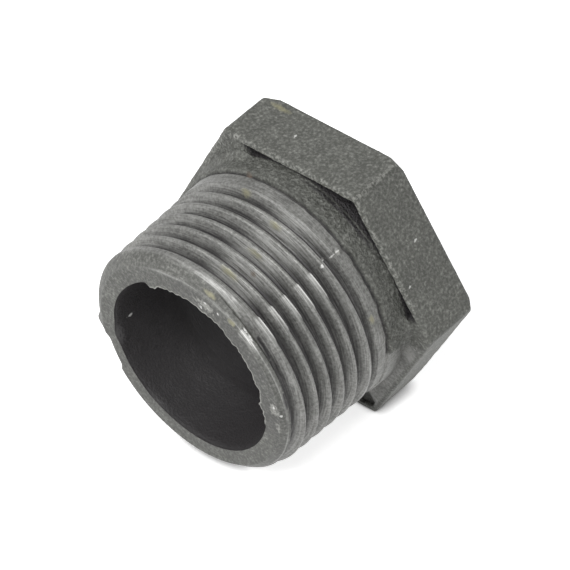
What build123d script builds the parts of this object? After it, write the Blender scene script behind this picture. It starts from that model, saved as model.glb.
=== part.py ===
"""Hex bushing, 1 x 3/4 inch, in malleable iron: one casting with its male thread cut.

The bore is drilled to size for the 3/4 inch female thread, whose fine turns aren't cut.
The bushing is drawn on its own axis, with the outer face of the head at height 0 and
the nose of the male thread at the top. Then it is laid on one flat of its head, with
the nose towards -Y. The origin is the centre of the head's outer face. Sizes are in mm.
"""
import os
from itertools import pairwise
from math import atan2, ceil, cos, degrees, pi, radians, tan

from build123d import *

# Male thread: ISO 7-1, R 1, right-hand, taper 1 to 16 on the diameter
MALE_PITCH = 25.4 / 11
MALE_GAUGE_RADIUS = 33.249 / 2  # crest radius at the gauge plane
MALE_GAUGE_LENGTH = 10.4  # from the nose to the gauge plane
MALE_TAPER = 1 / 32  # on the radius
MALE_THREAD_START = 11.85  # height where the groove starts to bite, at the top flat

TURNS_PAST_NOSE = 0.5  # at least, where the groove runs off the nose
FADE_GAP = 0.05  # from the groove to the shank, where it starts to fade in

# Female thread: ISO 7-1, Rp 3/4, parallel
FEMALE_PITCH = 25.4 / 14
FEMALE_MAJOR_RADIUS = 26.441 / 2
FEMALE_DRILL_DEPTH = 18.5  # tapping drill, from the head's outer face

# Thread form shared by both: a 55 degree V
FLANK_ANGLE = 27.5
DEPTH_IN_PITCHES = 0.6403

# Casting
BUSHING_LENGTH = 29.0
ACROSS_FLATS = 37.0
HEAD_THICKNESS = 8.3
HEAD_CORNER_RADIUS = 0.7  # along the six upright edges of the hexagon
FACE_CHAMFER_INSET = 1.1  # taken off each corner at the outer face
FACE_CHAMFER_HEIGHT = 1.0
HEAD_EDGE_CHAMFER = 0.3  # round the edge of the rim

# Hollow corners on the thread side of the head, inside a thin hexagonal rim
RIM_WALL = 0.8
POCKET_DEPTH = 3.5
CREASE_WIDTH = 0.4  # from the rim to the root of the shank, at mid-flat

# Rough root of the shank, between the head and the thread
ROOT_HEIGHT = 2.8
ROOT_RADIUS = ACROSS_FLATS / 2 - RIM_WALL - CREASE_WIDTH

NOSE_CHAMFER = 1.6

# Bore through the casting
BORE_RADIUS = 12.4
MOUTH_CHAMFER = 0.4  # beyond the major radius of the female thread

OVERLAP = 0.15  # how far a cutting tool runs clear of what it cuts


def crest_radius(height):
    """Radius of the male thread's crests at a height above the head's outer face."""
    gauge_plane = BUSHING_LENGTH - MALE_GAUGE_LENGTH
    return MALE_GAUGE_RADIUS + (gauge_plane - height) * MALE_TAPER


def turned(*points):
    """A solid of revolution from (radius, height) points around the outline."""
    return revolve(make_face(Plane.XZ * Polyline(*points, close=True)), axis=Axis.Z)


def hexagon(across):
    """A hexagon on the XY plane with flats facing +Y and -Y."""
    return RegularPolygon(radius=across / 2, side_count=6, major_radius=False)


def corner_pockets():
    """What the rim leaves hollow: a hexagonal recess, less the foot of the shank."""
    height = POCKET_DEPTH + OVERLAP
    recess = extrude(hexagon(ACROSS_FLATS - 2 * RIM_WALL), height)
    foot = extrude(Circle(ROOT_RADIUS), height)
    return Pos(0, 0, HEAD_THICKNESS - POCKET_DEPTH) * (recess - foot)


def head():
    """The hexagon with its chamfered outer face and its hollow corners."""
    block = extrude(hexagon(ACROSS_FLATS), HEAD_THICKNESS)
    upright = block.edges().filter_by(Axis.Z)
    block = fillet(upright, HEAD_CORNER_RADIUS)
    corner_radius = ACROSS_FLATS / 2 / cos(pi / 6)
    face_radius = corner_radius - FACE_CHAMFER_INSET
    block &= turned(
        (0, 0),
        (face_radius, 0),
        (corner_radius, FACE_CHAMFER_HEIGHT),
        (corner_radius, HEAD_THICKNESS),
        (0, HEAD_THICKNESS),
    )
    rim_edges = block.faces().sort_by(Axis.Z)[-1].outer_wire().edges()
    block = chamfer(rim_edges, HEAD_EDGE_CHAMFER)
    return block - corner_pockets()


def shank():
    """The shank before threading: its rough root, the cone of the crests and the nose."""
    root_top = HEAD_THICKNESS + ROOT_HEIGHT
    chamfer_start = BUSHING_LENGTH - NOSE_CHAMFER
    return turned(
        (0, HEAD_THICKNESS - POCKET_DEPTH),
        (ROOT_RADIUS, HEAD_THICKNESS - POCKET_DEPTH),
        (ROOT_RADIUS, root_top),
        (crest_radius(root_top), root_top),
        (crest_radius(chamfer_start), chamfer_start),
        (crest_radius(chamfer_start) - NOSE_CHAMFER, BUSHING_LENGTH),
        (0, BUSHING_LENGTH),
    )


def groove_radii():
    """Radius of the groove's mouth where it starts, and after each turn to past the nose."""
    to_nose = (BUSHING_LENGTH - MALE_THREAD_START) / MALE_PITCH
    radii = [crest_radius(MALE_THREAD_START) + DEPTH_IN_PITCHES * MALE_PITCH + FADE_GAP]
    for turn in range(ceil(to_nose + TURNS_PAST_NOSE)):
        radii.append(crest_radius(MALE_THREAD_START + (turn + 1) * MALE_PITCH))
    return radii


def groove():
    """The right-handed groove of the male thread, from the top flat round and round.

    Its first turn fades in from outside the shank, and its last runs off the nose.
    """
    radii = groove_radii()
    depth = DEPTH_IN_PITCHES * MALE_PITCH
    mouth_half = (depth + OVERLAP) * tan(radians(FLANK_ANGLE))
    section = Polyline(
        (radii[0] + OVERLAP, MALE_THREAD_START - mouth_half),
        (radii[0] - depth, MALE_THREAD_START),
        (radii[0] + OVERLAP, MALE_THREAD_START + mouth_half),
        close=True,
    )
    turns = []
    for count, (start_radius, end_radius) in enumerate(pairwise(radii)):
        slope = atan2(end_radius - start_radius, MALE_PITCH)
        turn = Helix(
            pitch=MALE_PITCH / cos(slope),  # measured along the cone
            height=MALE_PITCH,
            radius=start_radius,
            center=(0, 0, MALE_THREAD_START + count * MALE_PITCH),
            cone_angle=degrees(slope),
        )
        turns.append(turn.edge())
    cut = sweep(make_face(Plane.XZ * section), path=Wire(turns), is_frenet=True)
    return Rot(Z=90) * cut


def bore():
    """The waterway, the tapping drill's hole and the countersunk mouth."""
    drill_radius = FEMALE_MAJOR_RADIUS - DEPTH_IN_PITCHES * FEMALE_PITCH
    mouth_radius = FEMALE_MAJOR_RADIUS + MOUTH_CHAMFER
    step = abs(BORE_RADIUS - drill_radius)
    return turned(
        (0, 0),
        (mouth_radius, 0),
        (drill_radius, mouth_radius - drill_radius),
        (drill_radius, FEMALE_DRILL_DEPTH),
        (BORE_RADIUS, FEMALE_DRILL_DEPTH + step),
        (BORE_RADIUS, BUSHING_LENGTH),
        (0, BUSHING_LENGTH),
    )


bushing = head() + shank() - bore() - groove()
bushing = Rot(X=90) * bushing

os.makedirs("parts", exist_ok=True)
export_step(bushing, "parts/hex_bushing.step")
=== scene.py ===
"""Dresses a 1 x 3/4 inch hex bushing of black malleable iron and sets up its studio."""

import logging
import math
from dataclasses import dataclass, field
from enum import Enum
from typing import Any

import bpy
import numpy as np
from mathutils import Matrix, Vector, noise


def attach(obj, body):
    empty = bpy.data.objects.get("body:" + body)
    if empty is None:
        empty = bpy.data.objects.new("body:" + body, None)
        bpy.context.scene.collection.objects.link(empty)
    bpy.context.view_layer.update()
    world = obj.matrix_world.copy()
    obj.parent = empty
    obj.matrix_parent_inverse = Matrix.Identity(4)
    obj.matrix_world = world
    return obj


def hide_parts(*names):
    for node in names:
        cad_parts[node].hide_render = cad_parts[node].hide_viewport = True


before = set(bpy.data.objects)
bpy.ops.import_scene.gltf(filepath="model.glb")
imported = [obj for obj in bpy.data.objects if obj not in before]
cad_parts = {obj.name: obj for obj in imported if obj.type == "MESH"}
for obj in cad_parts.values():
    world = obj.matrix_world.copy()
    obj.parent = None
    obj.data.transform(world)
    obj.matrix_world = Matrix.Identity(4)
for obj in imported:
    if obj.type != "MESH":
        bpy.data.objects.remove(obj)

LOG = logging.getLogger("hex_bushing")
MM = 0.001
INCH = 25.4
NODE = "hex_bushing"

Socket = bpy.types.NodeSocket


# --- Helpers -----------------------------------------------------------------------------


def linear(hex_colour: str) -> tuple[float, float, float, float]:
    """Turn an sRGB hex colour into linear RGBA.

    Args:
        hex_colour: Six hex digits, such as "6a6a68".

    Returns:
        Linear red, green and blue, and an alpha of 1.
    """
    parts = [int(hex_colour[i : i + 2], 16) / 255 for i in (0, 2, 4)]
    out = [c / 12.92 if c <= 0.04045 else ((c + 0.055) / 1.055) ** 2.4 for c in parts]
    return (out[0], out[1], out[2], 1.0)


def add(
    tree: bpy.types.NodeTree, kind: str, settings: dict[str, Any], links: dict[Any, Any]
) -> bpy.types.Node:
    """Add a node with its settings and links.

    Args:
        tree: The node tree to add to.
        kind: The node's type without "ShaderNode".
        settings: Node properties by name, and socket values by "@" and socket name.
        links: Output sockets to plug in, by input name or number.

    Returns:
        The new node.
    """
    node = tree.nodes.new("ShaderNode" + kind)
    for name, value in settings.items():
        if name.startswith("@"):
            key = name[1:]
            node.inputs[int(key) if key.isdigit() else key].default_value = value
        else:
            setattr(node, name, value)
    for name, socket in links.items():
        tree.links.new(socket, node.inputs[name])
    return node


def background_rays(tree: bpy.types.NodeTree) -> Socket:
    """Mark the rays that show the background: seen, mirrored or through glass."""
    path = add(tree, "LightPath", {}, {}).outputs
    largest = {"operation": "MAXIMUM"}
    both = add(tree, "Math", largest, {0: path["Is Camera Ray"], 1: path["Is Glossy Ray"]})
    rays = add(tree, "Math", largest, {0: both.outputs[0], 1: path["Is Transmission Ray"]})
    return rays.outputs[0]


def smooth(value: np.ndarray, low: float | np.ndarray, high: float | np.ndarray) -> np.ndarray:
    """Ease from 0 at low to 1 at high."""
    t = np.clip((value - low) / (high - low), 0, 1)
    return t * t * (3 - 2 * t)


def bell(value: np.ndarray, middle: float | np.ndarray, width: float) -> np.ndarray:
    """Swell to 1 at a middle value, and fade out about two widths away from it."""
    return np.exp(-(((value - middle) / width) ** 2))


def past(angle: np.ndarray, middle: float | np.ndarray) -> np.ndarray:
    """How far angles lie past a middle one, from -180 to 180 degrees."""
    return (angle - middle + 180) % 360 - 180


def within(angle: np.ndarray, low: float, high: float | np.ndarray, soft: float) -> np.ndarray:
    """Tell how far angles lie inside an arc.

    Args:
        angle: Angles in degrees.
        low: Where the arc starts.
        high: Where it ends, going round the same way.
        soft: Degrees over which each end fades.

    Returns:
        1 inside the arc and 0 outside it.
    """
    away = np.abs(past(angle, (low + high) / 2))
    return 1 - smooth(away, (high - low) / 2 - soft / 2, (high - low) / 2 + soft / 2)


def turbulence(points: np.ndarray, size: float, octaves: int, seed: float) -> np.ndarray:
    """Sample fractal noise at points.

    Args:
        points: An array of shape (count, 3), in mm.
        size: Feature size in mm.
        octaves: How many finer layers are added up.
        seed: Shifts the pattern.

    Returns:
        One value a point, about -1 to 1.
    """
    shift = Vector((seed, seed * 1.7, -seed))
    fall, finer = 0.9, 2.1
    out = [noise.fractal(Vector(p) / size + shift, fall, finer, octaves) for p in points.tolist()]
    return np.array(out)


def noise_ring(angles: np.ndarray, fineness: float, seed: float) -> np.ndarray:
    """Sample noise round a circle, so that it meets itself.

    Args:
        angles: Where it is wanted, in degrees.
        fineness: How many features lie round about a sixth of the circle.
        seed: Shifts the pattern.

    Returns:
        One value for each angle, about -1 to 1.
    """
    turn = np.radians(angles)
    places = zip((np.cos(turn) * fineness).tolist(), (np.sin(turn) * fineness).tolist())
    return np.array([noise.noise(Vector((x, y, seed))) for x, y in places])


# --- Forms -------------------------------------------------------------------------------


class Mark(Enum):
    """What is marked on the skin, point by point, for the finish to read."""

    CAST = "cast"
    BRIGHT = "bright"
    OLIVE = "olive"
    RUST = "rust"
    # Soot inside the bore, and painted shade in the grooves, hollow corners, undercut and on the
    # nose's end.
    GRIME = "grime"
    # Painted highlights on the thread's crests and flanks.
    EDGE = "edge"
    COARSE = "coarse"
    # Metal scuffed half bright in spots, and painted highlights on the rim, a head corner and the
    # ragged lip.
    RUBBED = "rubbed"


class Zone(Enum):
    """Stretches of the skins, outside from the head's outer face on and then inside."""

    FACE = "outer face of the head"
    BEVEL = "chamfer of the outer face"
    SIDE = "flats of the head"
    RIM_EDGE = "outer edge of the rim"
    RIM_TOP = "top of the rim"
    RIM_WALL = "inner edge of the rim"
    POCKET = "hollow corners"
    ROOT = "rough root of the shank"
    UNDERCUT_WALL = "cast wall of the undercut"
    UNDERCUT_FLOOR = "cut floor of the undercut"
    BAND = "plain turned band"
    SHANK = "male thread and its nose"
    NOSE = "end face of the nose"
    FEMALE = "female thread"
    WATERWAY = "plain bore"


OUTSIDE_RIM = (Zone.SIDE, Zone.RIM_EDGE)
INSIDE_RIM = (Zone.RIM_TOP, Zone.RIM_WALL, Zone.POCKET)


@dataclass(frozen=True)
class Arc:
    """A stretch of the way round the axis, which fades at both ends.

    Attributes:
        low: Where it starts, in degrees from +X towards +Z.
        high: Where it ends, going round the same way.
        soft: Degrees over which each end fades.
    """

    low: float
    high: float
    soft: float

    def at(self, angle: np.ndarray, soft: float | None = None) -> np.ndarray:
        """Tell how far angles lie inside the arc.

        Args:
            angle: Angles in degrees.
            soft: Degrees over which each end fades, where that isn't the arc's own.

        Returns:
            1 inside the arc and 0 outside it.
        """
        return within(angle, self.low, self.high, self.soft if soft is None else soft)


@dataclass(frozen=True)
class Spot:
    """A patch on the casting, soft at its edges.

    Attributes:
        angle: Degrees round the axis, from +X towards +Z.
        height: Distance in mm from the head's outer face.
        wide: Half width in mm round the casting.
        tall: Half width in mm along the axis.
        radius: Distance in mm from the axis, or 0 for a patch at any distance.
        deep: Half width in mm outwards from the axis.
    """

    angle: float
    height: float
    wide: float
    tall: float
    radius: float = 0.0
    deep: float = 0.4

    def at(self, angle: np.ndarray, radius: float | np.ndarray, height: np.ndarray) -> np.ndarray:
        """How strongly the patch covers points, from 0 to 1."""
        turn = np.radians(past(angle, self.angle))
        across = turn * radius / self.wide
        along = (height - self.height) / self.tall
        outward = (radius - self.radius) / self.deep if self.radius else 0.0
        return np.exp(-(across**2 + along**2 + outward**2))


@dataclass(frozen=True)
class Thread:
    """A 55 degree thread, whose groove starts at a height and angle and climbs right-handed.

    Attributes:
        pitch: Rise of one turn, in mm.
        start: Height of the groove's centre where its count of turns is 0.
        start_angle: Angle of that place, in degrees.
        steps: Places of the rows from a groove's centre to the next crest, in pitches.
        half_angle: Half the angle between two flanks, in degrees.
        depth_share: Depth of the groove, in pitches.
        round_share: Radius of the round on crest and root, in pitches.
    """

    pitch: float
    start: float
    start_angle: float
    steps: tuple[float, ...]
    half_angle: float = 27.5
    depth_share: float = 0.6403
    round_share: float = 0.1373

    @property
    def depth(self) -> float:
        """Depth of the groove, in mm."""
        return self.depth_share * self.pitch

    def drop(self, above: np.ndarray) -> np.ndarray:
        """How far the rounded form lies below its crests.

        Args:
            above: Distance above the groove's centre, in mm.

        Returns:
            Distance from the crest's top, in mm; crest and root have the same round.
        """
        part = np.abs(above) / self.pitch
        bend = self.round_share
        lean = math.radians(self.half_angle)
        tangent = bend * math.cos(lean)
        from_crest = np.clip(0.5 - part, 0, tangent)
        crest = bend - np.sqrt(bend**2 - from_crest**2)
        from_root = np.clip(part, 0, tangent)
        root = self.depth_share - bend + np.sqrt(bend**2 - from_root**2)
        flank = bend * (1 - math.sin(lean)) + (0.5 - tangent - part) / math.tan(lean)
        inner = np.where(part < tangent, root, flank)
        return self.pitch * np.where(part > 0.5 - tangent, crest, inner)

    def rows(self, low: float, high: float) -> np.ndarray:
        """List rows that follow the helix.

        Args:
            low: Lowest height that the rows reach all the way round.
            high: Highest height that they reach.

        Returns:
            Turn counts, the same few in every pitch.
        """
        one = sorted({0.0, 0.5, *self.steps, *(1 - s for s in self.steps)})
        first = math.floor((low - self.start) / self.pitch - 1)
        last = math.ceil((high - self.start) / self.pitch)
        return np.array([k + s for k in range(first, last) for s in one] + [float(last)])

    @property
    def rows_a_turn(self) -> int:
        """How many rows lie in each pitch."""
        return 2 + 2 * len(self.steps)

    def heights(self, low: float, high: float, angles: np.ndarray) -> np.ndarray:
        """Heights of the rows between two heights, as an array of shape (rows, angles)."""
        turn = (angles - self.start_angle) / 360
        climbing = self.start + (self.rows(low, high)[:, None] + turn[None, :]) * self.pitch
        return np.clip(climbing, low, high)

    def nearest(self, height: np.ndarray, angles: np.ndarray) -> tuple[np.ndarray, np.ndarray]:
        """Find the groove nearest to each point.

        Args:
            height: Heights of shape (rows, angles).
            angles: Angles of the columns, in degrees.

        Returns:
            The turn count of the nearest groove, and the distance above its centre in mm.
        """
        turn = (angles[None, :] - self.start_angle) / 360
        count = (height - self.start) / self.pitch - turn
        whole = np.round(count)
        return whole + turn, (count - whole) * self.pitch


@dataclass(frozen=True)
class Row:
    """One row of a skin, a ring of points round the axis in mm, and the zone it lies in."""

    radius: float | np.ndarray
    height: float | np.ndarray
    zone: Zone


@dataclass
class Shell:
    """A skin of columns round the axis, each a run of (radius, height) points in mm.

    Attributes:
        angles: Angle of each column, in degrees, from the thread's start angle onwards.
        radius: Radii of shape (rows, columns).
        height: Heights of the same shape.
        zones: The zone of each row.
        wrap: For each row, the row that it meets where the last column joins the first.
        marks: Values of the same shape, which the finish reads.
    """

    angles: np.ndarray
    radius: np.ndarray
    height: np.ndarray
    zones: list[Zone]
    wrap: np.ndarray
    marks: dict[Mark, np.ndarray] = field(default_factory=dict)

    @classmethod
    def of_rows(cls, angles: np.ndarray, rows: list[Row], helical: Zone, a_turn: int) -> "Shell":
        """Stack rows into a skin.

        Args:
            angles: Angle of each column, in degrees.
            rows: The rows, in order.
            helical: The zone whose rows climb, so that each meets one further up.
            a_turn: How many rows further up that is.

        Returns:
            The skin, without marks.
        """
        climbing = np.flatnonzero([row.zone is helical for row in rows])
        wrap = np.arange(len(rows))
        wrap[climbing] = np.minimum(climbing + a_turn, climbing[-1])
        radius = np.stack([row.radius + 0 * angles for row in rows])
        height = np.stack([row.height + 0 * angles for row in rows])
        return cls(angles, radius, height, [row.zone for row in rows], wrap)

    def lies(self, *zones: Zone) -> np.ndarray:
        """Tell which rows lie in some zones, as an array of shape (rows, 1)."""
        return np.array([[zone in zones] for zone in self.zones])

    def painted(self, spots: tuple[Spot, ...]) -> np.ndarray:
        """How strongly the nearest of some patches covers each point."""
        cover = np.zeros(self.radius.shape)
        for spot in spots:
            cover = np.maximum(cover, spot.at(self.angles[None, :], self.radius, self.height))
        return cover

    def points(self) -> np.ndarray:
        """Positions in mm in the part's frame, one a point."""
        turn = np.radians(self.angles)[None, :]
        x = self.radius * np.cos(turn)
        z = self.radius * np.sin(turn)
        return np.stack([x, -self.height, z], axis=-1).reshape(-1, 3)

    def faces(self, weld: np.ndarray, outward: bool) -> list[list[int]]:
        """List the faces, without those that welding has closed up.

        Args:
            weld: Number of each point once welded, of shape (rows, columns).
            outward: True if the skin's outside faces away from the axis where rows climb.

        Returns:
            Point numbers of each face.
        """
        ring = np.concatenate([weld, weld[self.wrap, 0][:, None]], axis=1)
        quads = np.stack([ring[:-1, :-1], ring[1:, :-1], ring[1:, 1:], ring[:-1, 1:]], axis=-1)
        quads = quads.reshape(-1, 4)
        if outward:
            quads = quads[:, ::-1]
        kept = []
        for quad in quads.tolist():
            corners = [c for i, c in enumerate(quad) if c != quad[i - 1]]
            if len(set(corners)) == len(corners) > 2:
                kept.append(corners)
        return kept

    def build(self, name: str, outward: bool) -> bpy.types.Object:
        """Make the mesh, with points that fall together welded.

        Args:
            name: The piece's name.
            outward: True if the skin's outside faces away from the axis where rows climb.

        Returns:
            The new object, smooth but for its sharp edges.
        """
        places = self.points()
        digits, sharp_degrees = 5, 38
        _, keep, weld = np.unique(
            np.round(places, digits), axis=0, return_index=True, return_inverse=True
        )
        mesh = bpy.data.meshes.new(name)
        faces = self.faces(weld.reshape(self.radius.shape), outward)
        mesh.from_pydata((places[keep] * MM).tolist(), [], faces)
        for mark, values in self.marks.items():
            layer = mesh.attributes.new(mark.value, "FLOAT", "POINT")
            layer.data.foreach_set("value", values.reshape(-1)[keep].astype(np.float32))
        mesh.validate()
        mesh.shade_smooth()
        mesh.set_sharp_from_angle(angle=math.radians(sharp_degrees))
        piece = bpy.data.objects.new(name, mesh)
        bpy.context.scene.collection.objects.link(piece)
        return piece


@dataclass(frozen=True)
class Sizes:
    """The bushing's sizes in mm; heights are from the head's outer face.

    Attributes:
        length: Height of the nose's end.
        across_flats: Width of the hexagon between two flats.
        head: Thickness of the head, with its rim.
        corner: Radius of the hexagon's upright corners.
        face_inset: How far the outer face's chamfer comes in at a corner.
        face_drop: How far down the flats it comes there.
        rim_edge: Chamfer on the outer edge of the rim.
        rim_wall: Thickness of the rim round the hollow corners.
        pocket: Depth of a hollow corner.
        root_radius: Radius of the rough root.
        root_top: Height where the root ends.
        plain_top: Height where the plain band meets the rows of the thread.
        gauge_radius: Radius of the male thread's crests at the gauge plane.
        gauge_height: Height of that plane.
        taper: How fast the radius of the male thread falls with height.
        nose_chamfer: Chamfer on the nose.
        bore: Radius of the waterway at the nose.
        drill: Radius of the tapping hole.
        drill_depth: Height that the tapping hole reaches.
        mouth: Radius of the countersunk mouth.
    """

    length: float = 29.0
    across_flats: float = 37.0
    head: float = 8.3
    corner: float = 0.7
    face_inset: float = 1.1
    face_drop: float = 1.0
    rim_edge: float = 0.3
    rim_wall: float = 0.8
    pocket: float = 3.5
    root_radius: float = 17.3
    root_top: float = 11.1
    plain_top: float = 12.0
    gauge_radius: float = 16.6245
    gauge_height: float = 18.6
    taper: float = 1 / 32
    nose_chamfer: float = 1.6
    bore: float = 12.4
    drill: float = 12.0576
    drill_depth: float = 18.5
    mouth: float = 13.6205

    def columns(self) -> np.ndarray:
        """Angles of the columns: one a degree, and closer together at the hexagon's corners."""
        corners = np.arange(0.0, 360.0, 60.0)
        extra = np.concatenate([corners + s for s in (-0.5, 0.5, -1.5, 1.5)]) % 360
        found = np.unique(np.concatenate([np.arange(360.0), extra]))
        return np.sort((found - 90) % 360) + 90

    def crest(self, height: float | np.ndarray) -> float | np.ndarray:
        """Radius of the male thread's crests at a height."""
        return self.gauge_radius + (self.gauge_height - height) * self.taper

    def hexagon(self, angles: np.ndarray, half: float, corner: float) -> np.ndarray:
        """Radius of a hexagon with rounded corners.

        Args:
            angles: Where it is wanted, in degrees.
            half: From the axis to a flat, in mm.
            corner: Radius of its corners, in mm.

        Returns:
            One radius for each angle, in mm.
        """
        slant = math.cos(math.pi / 6)
        from_corner = 30 - np.abs(angles % 60 - 30)
        flat = half / np.cos(np.radians(30 - from_corner))
        centre = (half - corner) / slant
        reach = math.degrees(math.atan2(corner / 2, centre + corner * slant))
        swing = np.radians(np.minimum(from_corner, reach))
        chord = np.maximum(corner**2 - (centre * np.sin(swing)) ** 2, 0)
        arc = centre * np.cos(swing) + np.sqrt(chord)
        return np.where(from_corner < reach, arc, flat)


# --- The casting -------------------------------------------------------------------------


@dataclass(frozen=True)
class Flaws:
    """Where this one casting isn't as drawn, by angle round the axis.

    Attributes:
        turned: The lathe took the root right off.
        filled: Hollow corners were left full of metal.
        shallow: A hollow corner is nearly full.
        full_corners: The outer face's chamfer takes less off the corners.
        stepped: The turned band is sunk, up to the angle where the die stopped.
        step_depth: Depth of that step, in mm.
        burred: The thread's crests are burred.
        broken: The last crest has broken away.
        chipped: The break goes deeper.
        sound: The break is shallow.
        rolled: The nose's chamfer is rolled into a round.
        torn_lip: The bore's edge has a ragged lip.
        nose_burr: A burr stands out of the nose.
        nose_burr_out: How far it stands out, in mm.
    """

    turned: Arc = Arc(-58.0, -7.0, 5.0)
    filled: tuple[Arc, ...] = (Arc(112.0, 168.0, 6.0), Arc(-14.0, 7.0, 6.0))
    shallow: Arc = Arc(-80.0, -45.0, 8.0)
    full_corners: Arc = Arc(-20.0, 80.0, 12.0)
    stepped: Arc = Arc(-60.0, 50.0, 0.6)
    step_depth: float = 0.2
    burred: Arc = Arc(38.0, 50.6, 0.8)
    broken: Arc = Arc(190.0, 350.0, 3.0)
    chipped: Arc = Arc(190.0, 212.0, 8.0)
    sound: Arc = Arc(235.0, 330.0, 20.0)
    rolled: Arc = Arc(100.0, 190.0, 10.0)
    torn_lip: Arc = Arc(-12.0, 117.0, 2.0)
    nose_burr: Spot = Spot(187.0, 27.9, 1.0, 0.6)
    nose_burr_out: float = 0.7


@dataclass(frozen=True)
class Head:
    """Hexagonal head: outer face, flats, and a rim round the hollow corners.

    Attributes:
        sizes: The bushing's sizes.
        flaws: Where this casting isn't as drawn.
        face_parts: Places of the rows across the outer face, as shares of its width.
        side_parts: Places of the rows down the flats, as shares of their height.
        fuller: How much less the chamfer takes off the full corners, in mm.
        face_round: Width of the round between the outer face and a flat, in mm.
        bevel_fall: How far down the middle of the chamfer lies, as a share of its height.
        arris: Width of the softened edge between chamfer and flat, in mm.
        rim_round: How far in and up the middle of the rim's outer edge lies, in mm.
        inner_corner: Radius of the hollow corners inside the rim, in mm.
        rim_arris: Width of the softened inner edge of the rim, in mm.
        wall_top: Where the rim's inside starts to run straight, as a share of the depth.
        draft: How far the hollow corners narrow towards their floor, in mm.
        foot_draft: How far the root widens down inside them, in mm.
        foot_gap: How far short of the root the floor's rows stop, in mm.
        wall_parts: Places of the rows down the rim's inside, as shares of the depth.
        floor_parts: Places of the rows across the floor, as shares of its width.
        foot_parts: Places of the rows up the root, as shares of the depth.
        shallow_share: Share of the nearly full corner that is full.
    """

    sizes: Sizes = Sizes()
    flaws: Flaws = Flaws()
    face_parts: tuple[float, ...] = (0, 0.33, 0.66, 0.95, 1.0)
    side_parts: tuple[float, ...] = (
        0.04, 0.08, 0.12, 0.16, 0.2, 0.3, 0.4, 0.5, 0.6, 0.7, 0.8, 0.9, 0.96
    )
    fuller: float = 0.35
    face_round: float = 0.12
    bevel_fall: float = 0.45
    arris: float = 0.03
    rim_round: tuple[float, float] = (0.1, 0.2)
    inner_corner: float = 0.5
    rim_arris: float = 0.08
    wall_top: float = 0.1
    draft: float = 0.05
    foot_draft: float = 0.08
    foot_gap: float = 0.1
    wall_parts: tuple[float, ...] = (0.4, 0.8, 1.0)
    floor_parts: tuple[float, ...] = (0.25, 0.5, 0.75)
    foot_parts: tuple[float, ...] = (0.95, 0.6, 0.3, 0.14, 0.03)
    shallow_share: float = 0.85

    def outer_rows(self, angles: np.ndarray) -> list[Row]:
        """Lay out the outer face, the flats and the rim's outer edge.

        Args:
            angles: Angles of the columns, in degrees.

        Returns:
            The rows, from the bore's mouth outwards.
        """
        s = self.sizes
        outer = s.hexagon(angles, s.across_flats / 2, s.corner)
        limit = s.across_flats / 2 / math.cos(math.pi / 6) - s.face_inset
        limit = limit + self.fuller * self.flaws.full_corners.at(angles)
        face_edge = np.minimum(outer - self.face_round, limit)
        top = np.maximum((outer - limit) / s.face_inset * s.face_drop, self.face_round)
        foot = s.head - s.rim_edge
        width = face_edge - s.mouth
        rows = [Row(s.mouth + width * part, 0.0, Zone.FACE) for part in self.face_parts]
        rows.append(Row((face_edge + outer) / 2, top * self.bevel_fall, Zone.BEVEL))
        rows.append(Row(outer - self.arris, top - self.arris, Zone.SIDE))
        rows += [Row(outer, top + (foot - top) * part, Zone.SIDE) for part in self.side_parts]
        rows.append(Row(outer, foot, Zone.RIM_EDGE))
        rows.append(Row(outer - self.rim_round[0], foot + self.rim_round[1], Zone.RIM_EDGE))
        rows.append(Row(outer - s.rim_edge, s.head, Zone.RIM_EDGE))
        return rows

    def pocket_rows(self, angles: np.ndarray) -> list[Row]:
        """Lay out the hollow corners, from the rim down to their floor and up the root.

        Args:
            angles: Angles of the columns, in degrees.

        Returns:
            The rows, from the rim inwards.
        """
        s, f = self.sizes, self.flaws
        inner = s.hexagon(angles, s.across_flats / 2 - s.rim_wall, self.inner_corner)
        turned = f.turned.at(angles)
        full = np.maximum.reduce([turned, *[arc.at(angles) for arc in f.filled]])
        depth = s.pocket * (1 - full) * (1 - self.shallow_share * f.shallow.at(angles))
        foot = s.root_radius * (1 - turned) + s.crest(s.head) * turned
        rows = [
            Row(inner + self.rim_arris, s.head, Zone.RIM_TOP),
            Row(inner, s.head - depth * self.wall_top, Zone.RIM_WALL),
        ]
        for part in self.wall_parts:
            rows.append(Row(inner - self.draft * part, s.head - depth * part, Zone.POCKET))
        floor_edge, width = inner - self.draft, foot + self.foot_gap - inner
        for part in self.floor_parts:
            rows.append(Row(floor_edge + width * part, s.head - depth, Zone.POCKET))
        for part in self.foot_parts:
            rows.append(Row(foot + self.foot_draft * part, s.head - depth * part, Zone.POCKET))
        return rows


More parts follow.
